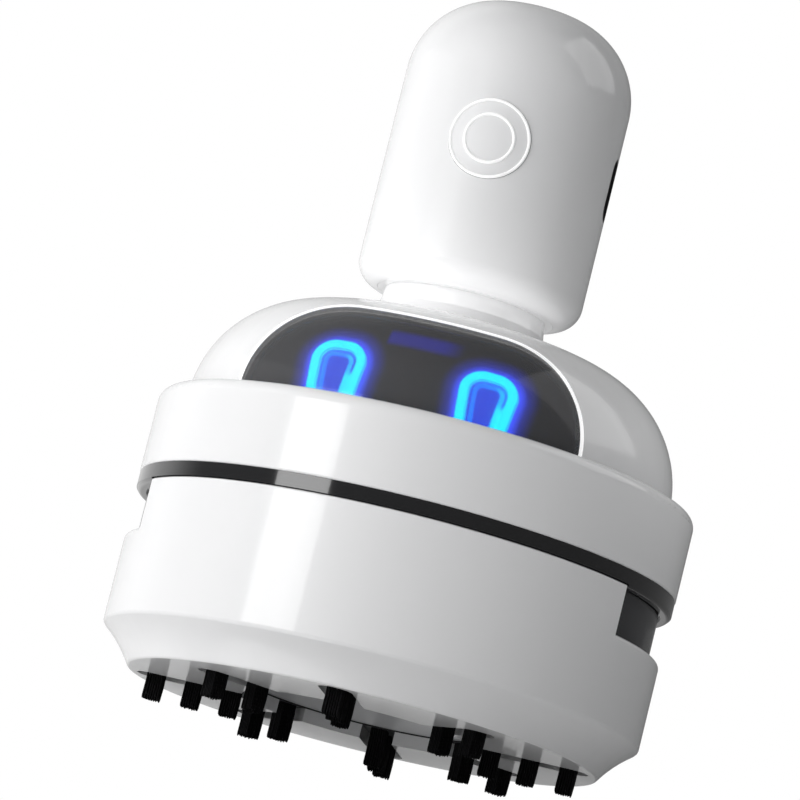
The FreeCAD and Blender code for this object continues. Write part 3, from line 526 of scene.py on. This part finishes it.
def bristle_fibre():
    """Black nylon that greys slightly in its last 1.2 mm above the desk."""
    material, tree, shader = new_material("black bristle fibre")
    place = object_place(tree)
    strands = noise(tree, place, 1500.0, detail=3.0)
    tip = tree.nodes.new("ShaderNodeMapRange")
    tip.inputs["From Min"].default_value = 1.2 * MM
    tip.inputs["From Max"].default_value = 0.0
    link(tree, axes(tree, place)["Z"], tip.inputs["Value"])
    color = mix_color(tree, strands, (0.003, 0.003, 0.0033, 1), (0.007, 0.007, 0.0075, 1))
    color = tint(tree, tip.outputs["Result"], 0.3, color, (0.014, 0.014, 0.015, 1))
    link(tree, color, shader.inputs["Base Color"])
    link(tree, rise(tree, strands, 0.6, 0.2), shader.inputs["Roughness"])
    shader.inputs["Specular IOR Level"].default_value = 0.08
    return material


MOULDED = moulded_surface_group()
DRAWN = drawn_metal_group()
ARCH = arch_distance_group()

FINISHES = {
    "white_plastic": white_plastic("glossy white plastic", (0.86, 0.86, 0.865)),
    "pale_plastic": plastic("pale grey plastic", (0.72, 0.725, 0.735), 0.3, mottle=0.05, coat=0.2),
    "black_gloss": plastic("glossy black plastic", (0.012, 0.012, 0.013), 0.1, mottle=0.2,
                           coat=1.0, grain_strength=0.03),
    "black_plastic": plastic("satin black plastic", (0.022, 0.022, 0.024), 0.45, mottle=0.3,
                             gloss_change=0.12, grain_strength=0.2),
    "grey_plastic": plastic("satin grey plastic", (0.3, 0.305, 0.32), 0.42, mottle=0.12,
                            grain_strength=0.2),
    "smoked_cup": plastic("smoked clear cup", (0.045, 0.046, 0.05), 0.1, mottle=0.15, coat=0.3,
                          alpha=0.88, grain_strength=0.03),
    "smoked_window": plastic("smoked window", (0.088, 0.088, 0.091), 0.06, mottle=0.06,
                             alpha=0.68, grain_strength=0.004, specular=0.3),
    "light_guide": light_guide(),
    "lamp_chip": plastic("lamp chip", (0.85, 0.7, 0.25), 0.3, mottle=0.1),
    "seal_rubber": plastic("seal rubber", (0.025, 0.025, 0.026), 0.75, mottle=0.3, grain=1200.0,
                           grain_strength=0.4),
    "fleece": fleece(),
    "steel": metal("machined steel", (0.62, 0.62, 0.64), 0.28, (600, 600, 3000)),
    "motor_metal": metal("drawn steel can", (0.66, 0.67, 0.69), 0.3, (30, 30, 2500)),
    "port_metal": metal("bright port shell", (0.72, 0.72, 0.74), 0.16, (60, 900, 900)),
    "switch_body": plastic("switch body", (0.03, 0.03, 0.03), 0.4, mottle=0.2),
    "circuit_board": circuit_board(),
    "cell_wrap": plastic("blue shrink film", (0.03, 0.11, 0.4), 0.2, mottle=0.25, coat=0.4,
                         patch_scale=120.0),
    "wire_cover": plastic("red wire cover", (0.42, 0.02, 0.02), 0.5, mottle=0.15),
    "bristle": bristle_fibre(),
}

# The handle's white is the body's white made darker: painted shade for the less light that the
# handle gets.
HANDLE_WHITE_PAINTED_SHADE = white_plastic("handle white plastic with painted shade", (0.825, 0.825, 0.83))
# Lip and trim glow a little: emission as a painted highlight where their rounded edges catch light.
LIP_PAINTED_HIGHLIGHT = painted_highlight_plastic("white lip with painted highlight", lit=0.25)
TRIM_PAINTED_HIGHLIGHT = painted_highlight_plastic("white trim with painted highlight", lit=0.5)


def finish_cad_pieces():
    """Every CAD node gets its slot's finish; pan, window trim and handle have their own, the trim
    with a painted highlight and the handle with a white darkened as painted shade.
    """
    slot_of = {row["node"]: row["material_slot"] for row in frame["record"]["subparts"]}
    # The window trim's emission is a painted highlight on its edge; the handle's darker white is
    # painted shade.
    own = {"eye_carrier": dark_pan(), "visor_trim": TRIM_PAINTED_HIGHLIGHT, "handle_shell": HANDLE_WHITE_PAINTED_SHADE}
    for name, node in frame["nodes"].items():
        finish = own.get(name) or FINISHES[slot_of[name]]
        for slot in node.material_slots:
            slot.material = finish


# ---------------------------------------------------------------- added pieces
def new_piece(name, vertices, faces, material, body):
    mesh = bpy.data.meshes.new(name)
    mesh.from_pydata(vertices, [], faces)
    mesh.polygons.foreach_set("use_smooth", [True] * len(mesh.polygons))
    mesh.materials.append(material)
    mesh.update()
    piece = bpy.data.objects.new(name, mesh)
    bpy.context.scene.collection.objects.link(piece)
    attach(piece, body)
    return piece


def filament(vertices, faces, root, tip):
    """Tapered filament from root to tip, slightly bowed, with a flat cap at each end."""
    base = len(vertices)
    sides = FILAMENT_SIDES
    for along, width in FILAMENT_RINGS:
        centre = root.lerp(tip, along)
        bow = math.sin(math.pi * along) * FILAMENT_BOW
        for k in range(sides):
            turn = 2 * math.pi * k / sides
            vertices.append(((centre.x + bow + FILAMENT_RADIUS * width * math.cos(turn)) * MM,
                             (centre.y + FILAMENT_RADIUS * width * math.sin(turn)) * MM,
                             centre.z * MM))
    rings = len(FILAMENT_RINGS)
    for ring in range(rings - 1):
        for k in range(sides):
            a = base + ring * sides + k
            b = base + ring * sides + (k + 1) % sides
            faces.append((b, a, a + sides, b + sides))
    last = base + (rings - 1) * sides
    faces.append(tuple(last + k for k in range(sides)))
    faces.append(tuple(base + k for k in reversed(range(sides))))


def bristle_tufts(name, radii, first_angle, node):
    """Bundles of filaments in place of the plain blocks of one node."""
    draw = random.Random(len(radii))
    spread = TUFT_SIDE / 2 - FILAMENT_RADIUS - FILAMENT_EDGE_GAP
    count = FILAMENTS_ACROSS
    grid = [(2 * i / (count - 1) - 1) * spread for i in range(count)]
    vertices = []
    faces = []
    for arm in range(4):
        angle = math.radians(first_angle + 90 * arm)
        along = Vector((math.cos(angle), math.sin(angle), 0))
        across = Vector((-along.y, along.x, 0))
        for radius in radii:
            lean_x = draw.uniform(-TUFT_LEAN, TUFT_LEAN)
            lean_y = draw.uniform(-TUFT_LEAN, TUFT_LEAN)
            for grid_u in grid:
                for grid_v in grid:
                    u = grid_u + draw.uniform(-FILAMENT_JITTER, FILAMENT_JITTER)
                    v = grid_v + draw.uniform(-FILAMENT_JITTER, FILAMENT_JITTER)
                    root = along * (radius + u) + across * v + Vector((0, 0, TUFT_ROOT))
                    splay = 1.0 + draw.uniform(*TIP_SPLAY)
                    tip = along * (radius + u * splay) + across * (v * splay)
                    tip += Vector((lean_x, lean_y, 0))
                    tip.z = draw.uniform(*TIP_HEIGHT)
                    filament(vertices, faces, root, tip)
    piece = new_piece(name, vertices, faces, FINISHES["bristle"], "dust_box")
    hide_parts(node)


def lip_ring(name, radius, body):
    """Rounded lip round the button that follows the handle's curved wall."""
    wall = HANDLE_RADIUS + LIP_RISE
    vertices = []
    faces = []
    for step in range(LIP_STEPS):
        turn = 2 * math.pi * step / LIP_STEPS
        x = radius * math.cos(turn)
        z = BUTTON_Z + radius * math.sin(turn)
        centre = Vector((x, -math.sqrt(wall * wall - x * x), z))
        outward = Vector((x, centre.y, 0)).normalized()
        radial = Vector((math.cos(turn), 0, math.sin(turn)))
        radial = (radial - outward * radial.dot(outward)).normalized()
        for k in range(LIP_SIDES):
            angle = 2 * math.pi * k / LIP_SIDES
            spoke = radial * math.cos(angle) + outward * math.sin(angle)
            vertices.append(tuple((centre + spoke * LIP_BEAD) * MM))
    for step in range(LIP_STEPS):
        here = step * LIP_SIDES
        there = (step + 1) % LIP_STEPS * LIP_SIDES
        for k in range(LIP_SIDES):
            after = (k + 1) % LIP_SIDES
            faces.append((here + k, here + after, there + after, there + k))
    # The lip's emission is a painted highlight along its rounded top.
    new_piece(name, vertices, faces, LIP_PAINTED_HIGHLIGHT, body)


# ---------------------------------------------------------------- studio
def area_light(name, place, aim, size, radiance, glossy=False, diffuse=True):
    """Panel that faces the aim point; size is its width and height, all in metres."""
    width, height = size
    data = bpy.data.lights.new(name, "AREA")
    data.shape = "RECTANGLE"
    data.size = width
    data.size_y = height
    data.energy = radiance * math.pi * width * height
    panel = bpy.data.objects.new(name, data)
    panel.location = place
    panel.rotation_euler = (Vector(aim) - Vector(place)).to_track_quat("-Z", "Y").to_euler()
    panel.visible_camera = False
    panel.visible_diffuse = diffuse
    panel.visible_glossy = glossy
    panel.visible_transmission = glossy
    bpy.context.scene.collection.objects.link(panel)


def around(azimuth, height, distance):
    """Place round the object; azimuth 0 is in front, positive towards the charging port."""
    turn = math.radians(azimuth)
    return (math.sin(turn) * distance, -math.cos(turn) * distance, height)


def studio_lights():
    for azimuth, radiance in KEY_WALL:
        place = around(azimuth, KEY_PANEL_HEIGHT, KEY_PANEL_DISTANCE)
        area_light("key wall %d" % -azimuth, place, OBJECT_MIDDLE, KEY_PANEL_SIZE, radiance)
    for name, where, aim, size, radiance, glossy, diffuse in PANELS:
        area_light(name, around(*where), aim, size, radiance, glossy, diffuse)
    for name, place, aim, size, radiance in CARDS:
        area_light(name, place, aim, size, radiance)


def plain_background(tree, color, strength):
    node = tree.nodes.new("ShaderNodeBackground")
    node.inputs["Color"].default_value = color
    node.inputs["Strength"].default_value = strength
    return node


def world_light():
    """White where it is seen straight or through clear pieces, and dimmer on the object.

    Reflections show dark walls, with bright ones at the back, on its left and higher up.
    """
    world = bpy.data.worlds.new("Studio")
    bpy.context.scene.world = world
    world.use_nodes = True
    tree = world.node_tree
    tree.nodes.clear()
    path = tree.nodes.new("ShaderNodeLightPath").outputs
    backdrop = plain_background(tree, grey(1), 1.0)
    room = plain_background(tree, (0.98, 0.99, 1.0, 1), ROOM_STRENGTH)
    walls = plain_background(tree, grey(WALL_DARK), 1.0)
    way = axes(tree, tree.nodes.new("ShaderNodeTexCoord").outputs["Generated"])
    from_left = ramp(tree, way["X"], 0.05, -0.4)
    from_back = ramp(tree, way["Y"], 0.0, 0.5)
    from_above = math_node(tree, "MULTIPLY", ramp(tree, way["Z"], 0.2, 0.6), CEILING_SHARE)
    bright = math_node(tree, "MAXIMUM", from_left, from_above)
    bright = math_node(tree, "MULTIPLY", bright, from_back)
    wall_color = mix_color(tree, bright, grey(WALL_DARK), grey(WALL_BRIGHT))
    link(tree, wall_color, walls.inputs["Color"])
    indirect = choose_shader(tree, path["Is Glossy Ray"], room.outputs[0], walls.outputs[0])
    seen = math_node(tree, "MAXIMUM", path["Is Camera Ray"], path["Is Transmission Ray"])
    light = choose_shader(tree, seen, indirect, backdrop.outputs[0])
    link(tree, light, tree.nodes.new("ShaderNodeOutputWorld").inputs["Surface"])


def pale_floor():
    """Floor that the low camera sees through from below, and the low panel shines through.

    From above, part of the white that the camera sees is the floor's own even light, so that
    the panels leave fainter edges on it.
    """
    half = FLOOR_HALF
    corners = [(-half, -half, 0), (half, -half, 0), (half, half, 0), (-half, half, 0)]
    mesh = bpy.data.meshes.new("floor")
    mesh.from_pydata(corners, [], [(0, 1, 2, 3)])
    plane = bpy.data.objects.new("floor", mesh)
    bpy.context.scene.collection.objects.link(plane)
    material, tree, shader = new_material("pale floor")
    shader.inputs["Roughness"].default_value = 0.9
    shader.inputs["Specular IOR Level"].default_value = 0.0
    shader.inputs["Emission Color"].default_value = grey(1)
    path = tree.nodes.new("ShaderNodeLightPath").outputs
    seen = path["Is Camera Ray"]
    color = mix_color(tree, seen, grey(FLOOR_WHITE), grey(FLOOR_SEEN_WHITE))
    lift = math_node(tree, "MULTIPLY", seen, FLOOR_SEEN_LIFT)
    link(tree, color, shader.inputs["Base Color"])
    link(tree, lift, shader.inputs["Emission Strength"])
    underside = tree.nodes.new("ShaderNodeNewGeometry").outputs["Backfacing"]
    clear = math_node(tree, "MAXIMUM", underside, path["Is Shadow Ray"])
    clear = math_node(tree, "MAXIMUM", clear, path["Is Glossy Ray"])
    through = tree.nodes.new("ShaderNodeBsdfTransparent")
    choice = choose_shader(tree, clear, shader.outputs[0], through.outputs[0])
    link(tree, choice, tree.nodes["Material Output"].inputs["Surface"])
    mesh.materials.append(material)


aim_camera()
studio_lights()
world_light()
pale_floor()
finish_cad_pieces()
bristle_tufts("long_arm_bristles", LONG_ARM_RADII, 0, "long_arm_tufts")
bristle_tufts("short_arm_bristles", SHORT_ARM_RADII, 45, "short_arm_tufts")
lip_ring("bezel_lip", BEZEL_LIP_RADIUS, "upper_body")
lip_ring("button_lip", BUTTON_LIP_RADIUS, "button")

bpy.context.scene.view_settings.view_transform = "Standard"
